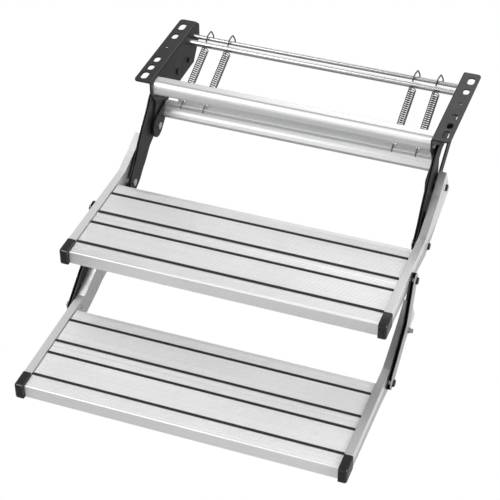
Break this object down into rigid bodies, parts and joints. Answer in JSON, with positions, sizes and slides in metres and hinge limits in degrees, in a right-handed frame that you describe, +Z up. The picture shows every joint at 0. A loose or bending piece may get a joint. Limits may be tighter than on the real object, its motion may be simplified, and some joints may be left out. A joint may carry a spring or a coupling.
{
  "type": "folding entry step",
  "caption": "Folding entry step for a caravan doorway, with ribbed aluminium treads on black steel links below slotted mounting brackets.",
  "frame": {"origin": "middle of the step's width, halfway along the mounting flanges, on the plane of their top faces that bolts to the vehicle floor", "axes": "+Z up, -Y towards the person climbing the step, +X along the tread to that person's right"},
  "size_m": [0.671, 0.8625, 0.3443],
  "materials": {
    "aluminium": "satin anodised",
    "black_steel": "semi-gloss black powder coat",
    "zinc": "zinc plated",
    "spring_steel": "dark oiled wire",
    "plastic": "moulded black",
    "rubber": "ribbed"
  },
  "bodies": {
    "frame": {"bracket_left": "black_steel", "bracket_right": "black_steel", "fascia": "aluminium", "front_rod": "zinc", "rear_rod": "zinc", "fascia_screws": "zinc", "rod_screws": "zinc", "web_bolts": "zinc", "rear_link_pins": "zinc"},
    "front_arms": {"arm_left": "black_steel", "arm_right": "black_steel", "crank_left": "zinc", "crank_right": "zinc", "spring_beam": "aluminium", "arm_pins": "zinc"},
    "rear_links": {"rear_link_left": "black_steel", "rear_link_right": "black_steel"},
    "springs_body": {"springs": "spring_steel"},
    "upper_step": {"upper_rail_left": "aluminium", "upper_rail_right": "aluminium", "upper_tread": "aluminium", "upper_grips": "rubber", "upper_cap_left": "plastic", "upper_cap_right": "plastic", "arm_rail_bolts": "zinc", "rear_rail_studs": "zinc", "inner_link_studs": "zinc", "outer_link_bolts": "zinc"},
    "outer_links": {"outer_link_left": "black_steel", "outer_link_right": "black_steel", "link_bumpers": "zinc"},
    "inner_links": {"inner_link_left": "black_steel", "inner_link_right": "black_steel"},
    "lower_step": {"lower_rail_left": "aluminium", "lower_rail_right": "aluminium", "lower_tread": "aluminium", "lower_grips": "rubber", "lower_cap_left": "plastic", "lower_cap_right": "plastic", "lower_rail_bolts": "zinc", "lower_rail_studs": "zinc"}
  },
  "joints": [
    {"name": "upper_fold", "type": "hinge", "parent": "frame", "child": "front_arms", "pos_m": [0, -0.105, -0.113], "axis": [1, 0, 0], "range_deg": [0, 80], "stiffness_Nm_per_rad": 12, "springref_deg": -68.75},
    {"name": "upper_level", "type": "hinge", "parent": "front_arms", "child": "upper_step", "pos_m": [0, -0.22, -0.179], "axis": [1, 0, 0], "range_deg": [-80, 0]},
    {"name": "rear_swing", "type": "hinge", "parent": "frame", "child": "rear_links", "pos_m": [0, 0.012, -0.055], "axis": [1, 0, 0], "range_deg": [0, 80]},
    {"name": "spring_swing", "type": "hinge", "parent": "frame", "child": "springs_body", "pos_m": [0, 0.077, -0.021], "axis": [1, 0, 0], "range_deg": [-12, 0], "deforming": ["springs"]},
    {"name": "lower_fold", "type": "hinge", "parent": "upper_step", "child": "outer_links", "pos_m": [0, -0.34, -0.168], "axis": [1, 0, 0], "range_deg": [0, 98]},
    {"name": "lower_level", "type": "hinge", "parent": "outer_links", "child": "lower_step", "pos_m": [0, -0.467, -0.314], "axis": [1, 0, 0], "range_deg": [-98, 0]},
    {"name": "inner_swing", "type": "hinge", "parent": "upper_step", "child": "inner_links", "pos_m": [0, -0.172, -0.148], "axis": [1, 0, 0], "range_deg": [0, 98]}
  ],
  "couplings": [
    {"joint": "upper_level", "follows": "upper_fold", "ratio": -1},
    {"joint": "rear_swing", "follows": "upper_fold", "ratio": 1},
    {"joint": "spring_swing", "follows": "upper_fold", "ratio": -0.144},
    {"joint": "lower_level", "follows": "lower_fold", "ratio": -1},
    {"joint": "inner_swing", "follows": "lower_fold", "ratio": 1}
  ]
}
